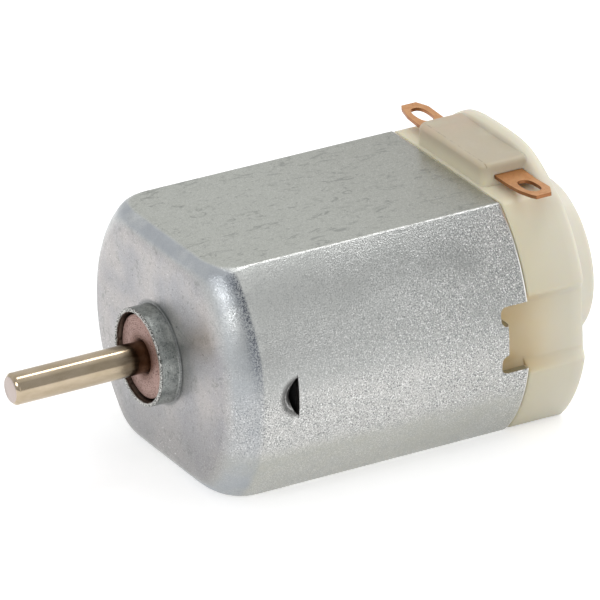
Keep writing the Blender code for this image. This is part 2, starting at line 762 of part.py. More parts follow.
def build_brushes():
    """Leaf springs fixed to the terminals' feet. Each one's two fingers press on the commutator."""
    near, far = BRUSH_SPAN
    contact = COMMUTATOR_RADIUS + 0.04 * MM + BRUSH_THICKNESS / 2
    leaf = TERMINAL_LEG - TERMINAL_THICKNESS / 2 - BRUSH_THICKNESS / 2 - GAP
    path = [
        (leaf, 5.3 * MM, near, far),
        (leaf, 3.6 * MM, near, far),
        (leaf - 0.3 * MM, 2.0 * MM, near, far),
        (contact, 0.35 * MM, near, far),
        (contact, -0.35 * MM, near, far),
        (contact + 0.3 * MM, -1.9 * MM, near, far),
    ]
    slit = 0.15 * MM
    for side, name in ((1, "brush_right"), (-1, "brush_left")):
        brush = strip(name, mirrored(path, side), BRUSH_THICKNESS, COPPER)
        xs = sorted((side * (contact - MM), side * (leaf + MM)))
        middle = (near + far) / 2
        cutter = box(
            f"{name}_slit_cutter",
            (xs[0], middle - slit, -3 * MM),
            (xs[1], middle + slit, 2.9 * MM),
        )
        boolean(brush, cutter, "DIFFERENCE")


build_can()
build_bearings()
build_magnets()
build_magnet_clip()
build_shaft()
build_core()
build_insulators()
build_coils()
build_commutator()
build_end_cap()
build_terminals()
build_brushes()
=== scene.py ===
import math
import random
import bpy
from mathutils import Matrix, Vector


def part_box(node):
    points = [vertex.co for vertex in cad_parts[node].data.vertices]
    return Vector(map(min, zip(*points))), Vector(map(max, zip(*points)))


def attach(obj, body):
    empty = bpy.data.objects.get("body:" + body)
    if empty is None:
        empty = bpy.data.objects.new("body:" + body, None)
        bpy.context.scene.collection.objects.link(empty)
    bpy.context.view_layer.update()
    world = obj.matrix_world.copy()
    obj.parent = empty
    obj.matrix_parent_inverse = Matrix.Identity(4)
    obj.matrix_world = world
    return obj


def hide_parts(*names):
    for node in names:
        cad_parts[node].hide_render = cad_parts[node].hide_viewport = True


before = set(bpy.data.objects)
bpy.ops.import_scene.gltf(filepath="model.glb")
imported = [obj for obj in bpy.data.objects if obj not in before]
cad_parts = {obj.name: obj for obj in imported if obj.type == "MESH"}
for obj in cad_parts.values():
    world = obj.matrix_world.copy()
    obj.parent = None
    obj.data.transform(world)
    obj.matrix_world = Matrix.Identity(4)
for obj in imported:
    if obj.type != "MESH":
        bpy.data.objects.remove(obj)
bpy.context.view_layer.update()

from types import SimpleNamespace

import bmesh
import bpy
import numpy as np
from mathutils import Matrix, Vector

MM = 0.001
random.seed(7)

# Sizes read from the frame. Stations run rearwards along the shaft from the can's front face.
can_low, can_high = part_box("can")
CAN_RADIUS = can_high.x
CAN_HALF_HEIGHT = can_high.z / 2
AXIS_HEIGHT = CAN_HALF_HEIGHT
NOSE_LENGTH = 1.4 * MM
FRONT_Y = can_low.y + NOSE_LENGTH
CAN_LENGTH = can_high.y - FRONT_Y
cap_low, cap_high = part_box("end_cap")
CAP_FRONT = cap_low.y - FRONT_Y
BOSS_END = cap_high.y - FRONT_Y
HUMP_TOP = cap_high.z - AXIS_HEIGHT
shaft_low, shaft_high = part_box("shaft")
SHAFT_RADIUS = shaft_high.x
SIDES = ((1, "right"), (-1, "left"))

# Can
CAN_WALL = 0.5 * MM
ROUND_SIDE_FILLET = 2.6 * MM
FLAT_SIDE_FILLET = 1.35 * MM
CORNER_SOFTNESS = 0.10 * MM
NOSE_RADIUS = 3.075 * MM
NOSE_BORE = 2.78 * MM
NOSE_FLARE = ((3.20 * MM, 0.0), (3.13 * MM, -0.01 * MM), (3.09 * MM, -0.035 * MM))
NOTCH_HALF_WIDTH = 2.2 * MM
NOTCH_START = 18.2 * MM
TAB_HALF_WIDTH = 0.95 * MM
TAB_FOLD = 18.85 * MM
TAB_BEND = 0.5 * MM
TAB_TUCK = 1.35 * MM
LANCE_EDGE = 4.25 * MM
LANCE_CENTRE = -0.1 * MM
LANCE_HALF_WIDTH = 1.2 * MM
LANCE_DEPTH = 0.45 * MM
DIMPLE_DEPTH = 1.05 * MM
DIMPLE_REACH = 1.55 * MM
DIMPLE_HALF_WIDTH = 1.7 * MM

# End cap
CAP_SHOULDER = CAN_LENGTH + 0.05 * MM
CAP_REAR = 24.2 * MM
BACK_PLATE = 0.85 * MM
CAVITY_RADIUS = 7.7 * MM
CAVITY_HALF_HEIGHT = 5.9 * MM
BOSS_RADIUS = 5.05 * MM
BOSS_ROUNDING = 0.3 * MM
REAR_OPENING = 1.3 * MM
BUSH_SEAT_RADIUS = 2.46 * MM
BUSH_SEAT_END = 25.26 * MM
HUMP_RADIUS = 9.87 * MM
GROOVE_HALF_WIDTH = 2.3 * MM
GROOVE_LIP = 0.35 * MM
BLOCK_HALF_LENGTH = 4.2 * MM
BLOCK_SPAN = (20.38 * MM, 23.45 * MM)
BLOCK_TOP = 8.95 * MM
BLOCK_ROUNDING = 0.3 * MM

# Terminals
STRIP_THICKNESS = 0.22 * MM
STRIP_SPAN = (21.2 * MM, 23.15 * MM)
STRIP_HEIGHT = 8.08 * MM
STRIP_TIP = 8.38 * MM
EYE_CENTRE = (6.62 * MM, 22.22 * MM)
EYE_HALF_SIZES = (1.05 * MM, 0.50 * MM)

# Shaft and bushes
SHAFT_CHAMFER = 0.24 * MM
BUSH_CLEARANCE = 0.03 * MM
BUSH_OUTER = {"front_bearing": 2.64 * MM, "rear_bearing": 2.4 * MM}
BUSH_CHAMFER = 0.14 * MM

# Room
FLOOR_COLOUR = (0.80, 0.80, 0.80, 1)
FLOOR_GLOW = 0.50
WORLD_LEVEL = 0.62
GLOSS_LEVELS = (0.80, 0.50)  # the room's brightness in reflections, from the left to the right
GLOSS_SPAN = (-0.6, 0.2)

# Camera. Angles are in degrees, and the aim is across the motor, behind its front face and above the axis.
CAMERA_LENS = 494.5
CAMERA_ANGLES = (62.39, 24.02)
CAMERA_ROLL = -2.08
CAMERA_DISTANCE = 501 * MM
CAMERA_AIM = (-0.41 * MM, 9.995 * MM, 0.90 * MM)


def at(x, station, z):
    """A point across the motor, behind the can's front face and above the shaft axis."""
    return Vector((x, station + FRONT_Y, z + AXIS_HEIGHT))


# ---------------------------------------------------------------- mesh helpers


def new_piece(name, bm, body, surface, replaced=(), angle=35):
    """Makes a shown piece from bm."""
    bmesh.ops.remove_doubles(bm, verts=bm.verts, dist=0.0005 * MM)
    return dress(new_object(name, bm), body, surface, replaced, angle)


def dress(obj, body, surface, replaced=(), angle=35):
    """Makes obj a shown piece: smooth shaded, riding on its body and standing for its CAD nodes."""
    obj.data.materials.clear()
    obj.data.materials.append(surface)
    obj.data.shade_smooth()
    obj.data.set_sharp_from_angle(angle=math.radians(angle))
    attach(obj, body)
    if replaced:
        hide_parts(*replaced)
    return obj


def add_loft(bm, rings, ends="looped"):
    """Adds rings of equally many points, bridged in turn. ends is looped, capped or open."""
    rows = [[bm.verts.new(point) for point in ring] for ring in rings]
    pairs = list(zip(rows, rows[1:]))
    if ends == "looped":
        pairs.append((rows[-1], rows[0]))
    for near, far in pairs:
        for i in range(len(near)):
            j = (i + 1) % len(near)
            bm.faces.new((near[i], near[j], far[j], far[i]))
    if ends == "capped":
        bm.faces.new(rows[0])
        bm.faces.new(rows[-1])
    return bm


def new_object(name, bm):
    """Turns bm into an object, with its faces turned outwards."""
    bmesh.ops.recalc_face_normals(bm, faces=bm.faces)
    mesh = bpy.data.meshes.new(name)
    bm.to_mesh(mesh)
    bm.free()
    obj = bpy.data.objects.new(name, mesh)
    bpy.context.scene.collection.objects.link(obj)
    return obj


def combine(obj, others, operation):
    """Applies one Boolean per helper to obj and removes the helpers."""
    for other in others:
        modifier = obj.modifiers.new(other.name, "BOOLEAN")
        modifier.operation = operation
        modifier.solver = "EXACT"
        modifier.object = other
    apply_modifiers(obj)
    for other in others:
        bpy.data.objects.remove(other)
    return obj


def apply_modifiers(obj):
    bpy.context.view_layer.update()
    graph = bpy.context.evaluated_depsgraph_get()
    mesh = bpy.data.meshes.new_from_object(obj.evaluated_get(graph))
    obj.modifiers.clear()
    obj.data = mesh


def rounded_outline(corners, steps=5):
    """Points of a closed outline. corners holds (a, b, radius), and each corner is rounded by its radius."""
    points = []
    count = len(corners)
    for i, (a, b, radius) in enumerate(corners):
        here = Vector((a, b))
        before = (Vector(corners[i - 1][:2]) - here).normalized()
        after = (Vector(corners[(i + 1) % count][:2]) - here).normalized()
        if radius == 0:
            points.append(tuple(here))
            continue
        half = before.angle(after) / 2
        centre = here + (before + after).normalized() * (radius / math.sin(half))
        start = here + before * (radius / math.tan(half)) - centre
        end = here + after * (radius / math.tan(half)) - centre
        sweep = start.angle_signed(end)
        for step in range(steps + 1):
            # angle_signed is clockwise-positive, as is this turn
            turn = -sweep * step / steps
            c, s = math.cos(turn), math.sin(turn)
            points.append((centre.x + start.x * c - start.y * s, centre.y + start.x * s + start.y * c))
    return points


def polar_angles():
    """Directions round the shaft axis, closer together at the can's corners and at its two sides."""
    corner = math.degrees(math.asin(CAN_HALF_HEIGHT / CAN_RADIUS))
    coarse_step, side_step, corner_step = 1.5, 0.4, 0.2
    side_count, corner_count = 43, 14
    closest = 0.6
    angles = set()
    for middle in (corner, 180 - corner, 180 + corner, 360 - corner):
        turns = range(-corner_count, corner_count + 1)
        angles.update(round(middle + corner_step * i, 4) for i in turns)
    for middle in (0, 180):
        turns = range(-side_count, side_count + 1)
        angles.update(round((middle + side_step * i) % 360, 4) for i in turns)
    marks = sorted(angles)
    for i in range(int(360 / coarse_step)):
        angle = i * coarse_step
        if min(abs((angle - mark + 180) % 360 - 180) for mark in marks) > closest:
            angles.add(angle)
    return np.radians(np.array(sorted(angles)))


ANGLES = polar_angles()
COSINES = np.cos(ANGLES)
SINES = np.sin(ANGLES)


def soft_min(a, b, softness):
    share = np.clip(0.5 + 0.5 * (b - a) / softness, 0, 1)
    return b * (1 - share) + a * share - softness * share * (1 - share)


def smoothstep(x):
    x = np.clip(x, 0, 1)
    return x * x * (3 - 2 * x)


def flattened(radius, half_height, softness):
    """Distance of a circle with two level flats from the axis, in each direction."""
    flat = half_height / np.maximum(np.abs(SINES), 1e-6)
    return soft_min(np.full_like(flat, radius), flat, softness)


def circle(radius):
    return np.full_like(ANGLES, radius)


def ring_at(distances, station):
    return [at(r * c, station, r * s) for r, c, s in zip(distances, COSINES, SINES)]


def turned(name, profile, body, surface, replaced=(), steps=96, angle=35):
    """A body of revolution about the shaft axis, from (radius, station) pairs; radius 0 closes an end."""
    bm = bmesh.new()
    angles = [2 * math.pi * i / steps for i in range(steps)]
    solid = profile[0][0] == 0
    inner = profile[1:-1] if solid else profile
    rings = [[at(r * math.cos(a), s, r * math.sin(a)) for a in angles] for r, s in inner]
    add_loft(bm, rings, "capped" if solid else "looped")
    return new_piece(name, bm, body, surface, replaced, angle)


def corner_arc(centre, rounding, start, end, steps):
    """(radius, station) pairs of an arc between two angles in degrees."""
    turns = [math.radians(start + (end - start) * i / steps) for i in range(steps + 1)]
    return [(centre[0] + rounding * math.cos(t), centre[1] + rounding * math.sin(t)) for t in turns]


# ---------------------------------------------------------------- materials


class Graph:
    """A node tree, with short ways to add to it."""

    def __init__(self, tree):
        self.tree = tree

    def add(self, kind, **settings):
        made = self.tree.nodes.new(kind)
        for key, value in settings.items():
            setattr(made, key, value)
        return made

    def plug(self, socket, value):
        if isinstance(value, bpy.types.NodeSocket):
            self.tree.links.new(value, socket)
        elif isinstance(value, tuple) and len(value) == 3 and socket.type == "RGBA":
            socket.default_value = (*value, 1.0)
        else:
            socket.default_value = value

    def fit(self, value, low, high, new_low=0.0, new_high=1.0, smooth=False):
        """Maps low to new_low and high to new_high, and holds the ends beyond them."""
        made = self.add("ShaderNodeMapRange")
        if smooth:
            made.interpolation_type = "SMOOTHSTEP"
        sockets = ("Value", "From Min", "From Max", "To Min", "To Max")
        for key, number in zip(sockets, (value, low, high, new_low, new_high)):
            self.plug(made.inputs[key], number)
        return made.outputs["Result"]

    def math(self, operation, first, second=0.0):
        made = self.add("ShaderNodeMath", operation=operation)
        self.plug(made.inputs[0], first)
        self.plug(made.inputs[1], second)
        return made.outputs[0]

    def times(self, first, *others):
        for other in others:
            first = self.math("MULTIPLY", first, other)
        return first

    def most(self, first, *others):
        for other in others:
            first = self.math("MAXIMUM", first, other)
        return first

    def distance(self, first, second):
        squares = [self.math("POWER", value, 2.0) for value in (first, second)]
        return self.math("SQRT", self.math("ADD", *squares))

    def mix(self, share, first, second):
        """Mixes two colours, or two plain numbers."""
        plain = not any(self.is_colour(value) for value in (first, second))
        made = self.add("ShaderNodeMix", data_type="FLOAT" if plain else "RGBA")
        first_input = 2 if plain else 6
        self.plug(made.inputs[0], share)
        self.plug(made.inputs[first_input], first)
        self.plug(made.inputs[first_input + 1], second)
        return made.outputs[0 if plain else 2]

    @staticmethod
    def is_colour(value):
        if isinstance(value, bpy.types.NodeSocket):
            return value.type == "RGBA"
        return isinstance(value, tuple)

    def split(self, vector):
        made = self.add("ShaderNodeSeparateXYZ")
        self.plug(made.inputs[0], vector)
        return made.outputs


class Nodes(Graph):
    """One material's shader and textures, in object coordinates, in which a unit is a metre."""

    def __init__(self, name):
        self.material = bpy.data.materials.new(name)
        self.material.use_nodes = True
        super().__init__(self.material.node_tree)
        self.shader = self.tree.nodes["Principled BSDF"]
        self.place = self.add("ShaderNodeTexCoord").outputs["Object"]

    def set(self, **values):
        """Sets or links the shader's sockets, named with underscores for spaces."""
        for key, value in values.items():
            self.plug(self.shader.inputs[key.replace("_", " ")], value)

    def stretched(self, x, y, z):
        """The place, with each axis scaled, so that a texture is finer along the larger numbers."""
        mapping = self.add("ShaderNodeMapping")
        self.plug(mapping.inputs["Vector"], self.place)
        mapping.inputs["Scale"].default_value = (x, y, z)
        return mapping.outputs["Vector"]

    def noise(self, size, detail=2.0, roughness=0.5, place=None, distortion=0.0):
        """Noise from 0 to 1 whose features are about the given size, in metres."""
        made = self.add("ShaderNodeTexNoise")
        self.plug(made.inputs["Vector"], place or self.place)
        settings = {"Scale": 1 / size, "Detail": detail, "Roughness": roughness, "Distortion": distortion}
        for key, value in settings.items():
            made.inputs[key].default_value = value
        return made.outputs["Fac"]

    def facing(self):
        """The surface's own direction as x, y and z."""
        return self.split(self.add("ShaderNodeNewGeometry").outputs["Normal"])

    def station(self):
        """How far behind the can's front face."""
        return self.math("SUBTRACT", self.split(self.place)[1], FRONT_Y)

    def height(self):
        """How far above the shaft axis."""
        return self.math("SUBTRACT", self.split(self.place)[2], AXIS_HEIGHT)

    def radius(self):
        """How far from the shaft axis."""
        return self.distance(self.split(self.place)[0], self.height())

    def bump(self, height, depth, strength, normal=None):
        made = self.add("ShaderNodeBump")
        made.inputs["Strength"].default_value = strength
        made.inputs["Distance"].default_value = depth
        self.plug(made.inputs["Height"], height)
        if normal:
            self.plug(made.inputs["Normal"], normal)
        return made.outputs["Normal"]

    def soft_edges(self, radius):
        made = self.add("ShaderNodeBevel", samples=6)
        made.inputs["Radius"].default_value = radius
        return made.outputs["Normal"]


def can_regions(n):
    """Where each part of the can is, as shares from 0 to 1."""
    on = SimpleNamespace()
    on.station = n.station()
    on.height = n.height()
    on.facing = n.facing()
    on.level = n.math("ABSOLUTE", on.facing[2])
    on.flat = n.fit(on.level, 0.93, 0.985)
    on.long_edge = n.times(
        n.fit(on.level, 0.765, 0.83),
        n.fit(on.level, 0.99, 0.93),
        n.fit(on.station, 2.2 * MM, 3.2 * MM),
    )
    on.front = n.fit(on.facing[1], -0.80, -0.97)
    on.nose = n.fit(on.station, -0.05 * MM, -0.20 * MM)
    on.lip = n.fit(on.station, -1.24 * MM, -1.32 * MM)
    on.rim = n.fit(on.station, CAN_LENGTH - 2.2 * MM, CAN_LENGTH - 0.2 * MM)
    on.rim_edge = n.fit(on.station, CAN_LENGTH - 0.17 * MM, CAN_LENGTH - 0.13 * MM)
    on.calm = n.most(on.flat, on.front, on.long_edge)
    on.above = n.fit(on.height, -0.9 * MM, 1.3 * MM, smooth=True)
    on.below = n.fit(on.height, -3.1 * MM, -4.6 * MM, smooth=True)
    return on


def can_side_painted_reflections(n, on):
    """The drawn sides, in painted reflections: a bright band low down for the lit floor, darker above it for
    the room and below it for the floor in shadow, a lighter shoulder towards the front as a painted
    highlight, and darker towards the rim.
    """
    # painted reflections: a bright band for the lit floor, olive below it for the floor in shadow, darker
    # above it for the room
    lower = n.mix(on.below, (0.57, 0.565, 0.55), (0.455, 0.455, 0.41))
    side = n.mix(on.above, lower, (0.39, 0.40, 0.39))
    shoulder = n.fit(on.height, 2.0 * MM, 5.0 * MM, smooth=True)
    # painted highlight: the shoulder lighter towards the front
    shoulder_painted_highlight = n.mix(n.fit(on.station, 2 * MM, 18 * MM), (0.75, 0.77, 0.745), (0.46, 0.47, 0.46))
    side = n.mix(shoulder, side, shoulder_painted_highlight)
    return n.mix(n.fit(on.station, 12 * MM, 19 * MM, 0, 0.35), side, (0.27, 0.275, 0.26))


def paint_front(n, on, cloud, base):
    """The front face: painted shade low down, with dark specks and a few painted glints."""
    tone = n.mix(n.fit(cloud, 0.38, 0.6), (0.345, 0.34, 0.36), (0.45, 0.425, 0.42))
    # painted shade: the face darker towards the bottom
    tone = n.mix(n.fit(on.height, -0.5 * MM, -5.0 * MM, 0.0, 0.5), tone, (0.27, 0.265, 0.27))
    base = n.mix(n.times(on.front, 0.9), base, tone)
    specks = n.times(n.fit(n.noise(0.16 * MM, 2, 0.6), 0.66, 0.70, 0, 0.55), on.front)
    base = n.mix(specks, base, (0.13, 0.12, 0.12))
    # painted glints: sparse white specks, gathered in clouds, stand in for highlights
    glints = n.fit(n.noise(0.13 * MM, 1, 0.5), 0.70, 0.74, 0, 0.7)
    glints = n.times(glints, on.front, n.fit(cloud, 0.48, 0.6))
    return n.mix(glints, base, (0.90, 0.90, 0.90))


def paint_nose(n, on, patch, fleck, base):
    """The nose: mottled and pitted, with a bright torn lip, painted shade round its foot and painted shade
    inside the bore.
    """
    tone = n.mix(n.fit(patch, 0.42, 0.62), (0.27, 0.30, 0.285), (0.50, 0.53, 0.505))
    base = n.mix(n.times(on.nose, n.fit(fleck, 0.62, 0.46, 0.55, 0.90)), base, tone)
    pits = n.times(n.fit(n.noise(0.12 * MM, 2, 0.6), 0.60, 0.66, 0, 0.7), on.nose)
    base = n.mix(pits, base, (0.10, 0.11, 0.105))
    base = n.mix(n.times(on.lip, n.fit(fleck, 0.48, 0.56)), base, (0.66, 0.65, 0.62))
    base = n.mix(n.times(on.lip, n.fit(fleck, 0.48, 0.42)), base, (0.06, 0.055, 0.05))
    radius = n.radius()
    # painted shade where the nose meets the front face
    foot = n.times(
        n.fit(radius, 3.38 * MM, 3.20 * MM),
        n.fit(on.station, -0.20 * MM, -0.08 * MM),
        n.fit(on.station, 0.2 * MM, 0.1 * MM),
    )
    base = n.mix(n.times(foot, 0.70), base, (0.13, 0.14, 0.14))
    # painted shade inside the bore
    bore = n.times(n.fit(radius, 2.86 * MM, 2.80 * MM), on.nose)
    return n.mix(bore, base, (0.15, 0.115, 0.09))


def paint_fillet(n, on, base):
    """The front fillet: smooth and slightly blue, with a dark peppered line where it meets each round side.
    """
    haze = n.times(
        n.fit(on.facing[1], -0.95, -0.78, smooth=True),
        n.fit(on.facing[1], -0.20, -0.40, smooth=True),
        n.fit(on.station, -0.01 * MM, 0.02 * MM),
        n.fit(n.noise(3.5 * MM, 2), 0.36, 0.60, 0.25, 0.75),
        n.fit(on.level, 0.30, 0.62, 0.6, 1.0),
    )
    base = n.mix(haze, base, (0.375, 0.405, 0.45))
    dark_band = n.times(
        n.fit(on.station, 1.10 * MM, 1.85 * MM, smooth=True),
        n.fit(on.station, 2.10 * MM, 1.88 * MM, smooth=True),
        n.fit(on.height, -1.0 * MM, 3.6 * MM, 0.12, 1.0, smooth=True),
        n.fit(on.level, 0.80, 0.65),
    )
    pepper = n.fit(n.noise(0.10 * MM, 3, 0.85), 0.46, 0.54)
    base = n.mix(n.times(dark_band, 0.25), base, (0.32, 0.355, 0.40))
    return n.mix(n.times(dark_band, pepper, 0.85), base, (0.05, 0.06, 0.09))


def paint_lance(n, on, patch, base):
    """The pressed lip ahead of each magnet stop: painted shade in the dimple, and a bright arc where it was
    sheared, painted as a highlight.
    """
    along = n.math("DIVIDE", n.math("SUBTRACT", LANCE_EDGE, on.station), DIMPLE_REACH)
    across = n.math("DIVIDE", n.math("SUBTRACT", on.height, LANCE_CENTRE), DIMPLE_HALF_WIDTH)
    away = n.distance(along, across)
    # painted shade in the pressed dimple
    dimple_painted_shade = n.times(n.fit(away, 0.86, 0.66, smooth=True), n.fit(along, -0.01, 0.01))
    base = n.mix(n.times(dimple_painted_shade, 0.8), base, (0.17, 0.17, 0.165))
    # painted highlight: a thin bright arc near the sheared edge
    arc = n.times(
        n.fit(away, 0.46, 0.50),
        n.fit(away, 0.58, 0.54),
        n.fit(patch, 0.40, 0.5),
        n.fit(along, 0.1, 0.2),
    )
    return n.mix(arc, base, (0.75, 0.75, 0.74))


def zinc_plate():
    """Drawn steel with a zinc plate: a sparkling grain on the drawn sides, smoother flats and front face."""
    n = Nodes("zinc_plate")
    on = can_regions(n)
    cloud = n.noise(2.8 * MM, 3)
    patch = n.noise(0.7 * MM, 4, 0.65)
    grain = n.noise(0.11 * MM, 2, 0.7)
    fleck = n.noise(0.085 * MM, 1, 0.5)
    streak = n.noise(0.10 * MM, 3, 0.6, n.stretched(1.0, 0.25, 1.6))
    scratch = n.noise(0.05 * MM, 2, 0.5, n.stretched(1.0, 0.05, 1.0))
    scuff = n.noise(0.55 * MM, 5, 0.72, n.stretched(1.0, 0.45, 1.0), 1.2)
    hair = n.noise(0.35 * MM, 2, 0.6, n.stretched(0.5, 1.0, 2.2), 2.5)

    # how strongly the grain shows
    coarse = n.mix(on.above, n.mix(on.below, 1.0, 0.35), n.fit(on.station, 4 * MM, 15 * MM, 0.35, 0.85))
    coarse = n.times(coarse, n.fit(cloud, 0.35, 0.6, 0.7, 1.1))
    coarse = n.math("ADD", coarse, n.times(on.rim, 0.3))
    coarse = n.mix(on.calm, coarse, n.mix(on.long_edge, 0.22, 0.6))
    coarse = n.mix(on.nose, coarse, 0.35)
    coarse = n.mix(on.rim_edge, coarse, 0.1)

    relief = n.times(n.math("ADD", grain, n.times(streak, 0.4)), coarse)
    relief = n.math("ADD", relief, n.times(scratch, 0.07))
    relief = n.math("ADD", relief, n.times(fleck, on.lip, 1.2))

    # the sides' painted reflections, under a random lighter tone
    base = n.mix(n.fit(cloud, 0.3, 0.7, 0.0, 0.35), can_side_painted_reflections(n, on), (0.57, 0.57, 0.56))
    base = n.mix(n.fit(patch, 0.42, 0.72, 0, 0.45), base, (0.43, 0.445, 0.44))
    # the flats' tone, with painted light: lighter towards the front
    flat_tone_and_painted_light = n.mix(n.fit(on.station, 9 * MM, 20 * MM), (0.485, 0.50, 0.455), (0.43, 0.435, 0.39))
    base = n.mix(n.times(on.flat, 0.85), base, flat_tone_and_painted_light)
    # painted highlight along the long edges between flats and round sides, broken up by the patch noise
    edge_painted_highlight = n.times(on.long_edge, n.fit(patch, 0.40, 0.62, 0.2, 1.0))
    base = n.mix(edge_painted_highlight, base, (0.88, 0.88, 0.86))
    base = paint_front(n, on, cloud, base)
    # painted glints: bright specks in the grain stand in for sparkle; the dark specks after them are part of
    # the grain
    base = n.mix(n.times(n.fit(fleck, 0.56, 0.68, 0, 0.85), coarse), base, (0.93, 0.93, 0.92))
    base = n.mix(n.times(n.fit(fleck, 0.46, 0.33, 0, 0.85), coarse), base, (0.20, 0.21, 0.21))
    marks = n.times(n.fit(scuff, 0.55, 0.64, 0, 0.6), n.most(on.flat, on.front))
    base = n.mix(marks, base, (0.23, 0.24, 0.225))
    base = n.mix(n.times(n.fit(hair, 0.635, 0.675, 0, 0.27), on.calm), base, (0.20, 0.20, 0.19))
    base = paint_nose(n, on, patch, fleck, base)
    # painted highlight on the rim's rounded edge
    base = n.mix(n.times(on.rim_edge, 0.7), base, (0.80, 0.80, 0.78))
    base = paint_fillet(n, on, base)
    base = paint_lance(n, on, patch, base)

    rough = n.fit(patch, 0.3, 0.7, 0.27, 0.40)
    n.set(Base_Color=base, Metallic=1.0, Roughness=rough, Normal=n.bump(relief, 0.09 * MM, 0.8))
    return n.material


def polished_shaft():
    """Ground steel with an oily straw tint, finer along the shaft than round it, and dark brown near the bush
    as a painted reflection of the bush.
    """
    n = Nodes("polished_shaft")
    station = n.station()
    front_end = shaft_low.y - FRONT_Y
    tip = n.fit(station, front_end + 0.05 * MM, front_end + 0.02 * MM)
    lines = n.noise(0.06 * MM, 2, 0.5, n.stretched(1.0, 0.03, 1.0))
    mottle = n.noise(0.6 * MM, 3, 0.55, n.stretched(1.0, 0.4, 1.0))
    base = n.mix(n.fit(mottle, 0.35, 0.7), (0.55, 0.455, 0.335), (0.46, 0.375, 0.26))
    uneven = n.math("ADD", station, n.times(n.math("SUBTRACT", mottle, 0.5), 1.6 * MM))
    # painted reflection: the shaft turns dark brown near the bush
    bush_painted_reflection = n.fit(uneven, -3.2 * MM, -1.7 * MM, smooth=True)
    base = n.mix(n.times(bush_painted_reflection, n.fit(mottle, 0.3, 0.6, 0.75, 0.98)), base, (0.11, 0.065, 0.035))
    base = n.mix(tip, base, (0.55, 0.475, 0.44))
    rough = n.math("ADD", n.fit(lines, 0.3, 0.7, 0.13, 0.19), n.times(tip, 0.25))
    n.set(Base_Color=base, Metallic=1.0, Roughness=rough, Normal=n.bump(lines, 0.003 * MM, 0.10))
    return n.material


def sintered_bronze():
    """Pressed bronze powder: pores, turned rings and an oiled patch round the shaft."""
    n = Nodes("sintered_bronze")
    pores = n.fit(n.noise(0.14 * MM, 3, 0.7), 0.54, 0.60)
    radius = n.radius()
    ring_pitch = 0.13 * MM
    rings = n.math("SINE", n.times(radius, 2 * math.pi / ring_pitch))
    base = n.mix(n.noise(0.5 * MM, 3), (0.36, 0.23, 0.20), (0.50, 0.34, 0.30))
    oiled = n.times(n.fit(radius, 1.75 * MM, 1.15 * MM, smooth=True), 0.85)
    base = n.mix(oiled, base, (0.16, 0.075, 0.045))
    groove = n.times(n.fit(rings, 0.2, 0.9, 0, 0.35), n.fit(n.noise(0.8 * MM, 2), 0.4, 0.6))
    base = n.mix(groove, base, (0.22, 0.12, 0.10))
    base = n.mix(n.times(pores, 0.8), base, (0.13, 0.06, 0.045))
    relief = n.math("SUBTRACT", n.times(rings, 0.2), pores)
    rough = n.fit(rings, -1, 1, 0.42, 0.55)
    n.set(Base_Color=base, Metallic=0.75, Roughness=rough, Normal=n.bump(relief, 0.012 * MM, 0.5))
    return n.material


def natural_nylon():
    """Unpigmented moulding: cream, translucent, and more amber where it is thin over the dark inside."""
    n = Nodes("natural_nylon")
    station = n.station()
    height = n.height()
    cloud = n.noise(2.5 * MM, 3)

    rearward = n.fit(station, CAN_LENGTH - 1.2 * MM, CAN_LENGTH + 3.4 * MM, 0, 1, smooth=True)
    in_groove = n.fit(n.math("ABSOLUTE", height), 2.9 * MM, 2.1 * MM, smooth=True)
    amber = n.mix(in_groove, (0.70, 0.635, 0.45), (0.74, 0.57, 0.31))
    base = n.mix(rearward, amber, (0.74, 0.70, 0.57))

    # the terminal block, and a warmer left end, where the strip shows through
    front, rear = BLOCK_SPAN
    rise = n.fit(height, CAN_HALF_HEIGHT + 0.2 * MM, CAN_HALF_HEIGHT + 1.2 * MM, smooth=True)
    block = n.times(rise, n.fit(station, rear + 0.1 * MM, rear - 0.1 * MM))
    base = n.mix(n.times(block, n.fit(cloud, 0.3, 0.65, 0.60, 1.0)), base, (0.46, 0.40, 0.29))
    strip_under = n.times(n.fit(n.split(n.place)[0], -0.5 * MM, -3.6 * MM, 0.1, 0.7, smooth=True), block)
    base = n.mix(n.times(strip_under, n.fit(cloud, 0.35, 0.6)), base, (0.60, 0.43, 0.31))

    seam_line = n.math("ABSOLUTE", n.math("SUBTRACT", station, front + 0.36 * MM))
    seam = n.times(
        n.fit(seam_line, 0.045 * MM, 0.02 * MM),
        n.fit(n.noise(0.5 * MM, 3, 0.7), 0.44, 0.52),
        n.fit(height, BLOCK_TOP - 0.3 * MM, BLOCK_TOP - 0.2 * MM),
    )
    base = n.mix(n.times(seam, 0.55), base, (0.26, 0.19, 0.12))

    behind = n.fit(station, CAP_REAR - 0.9 * MM, CAP_REAR + 0.3 * MM)
    base = n.mix(behind, base, (0.84, 0.81, 0.71))
    base = n.mix(n.fit(cloud, 0.45, 0.75, 0, 0.25), base, (0.78, 0.74, 0.60))

    grain = n.noise(0.25 * MM, 3)
    rough = n.fit(grain, 0.3, 0.7, 0.34, 0.44)
    normal = n.bump(grain, 0.01 * MM, 0.35, n.soft_edges(0.12 * MM))
    n.set(Base_Color=base, Roughness=rough, Normal=normal, IOR=1.53)
    n.set(Subsurface_Weight=0.5, Subsurface_Radius=(1.0, 0.75, 0.4), Subsurface_Scale=0.8 * MM)
    return n.material


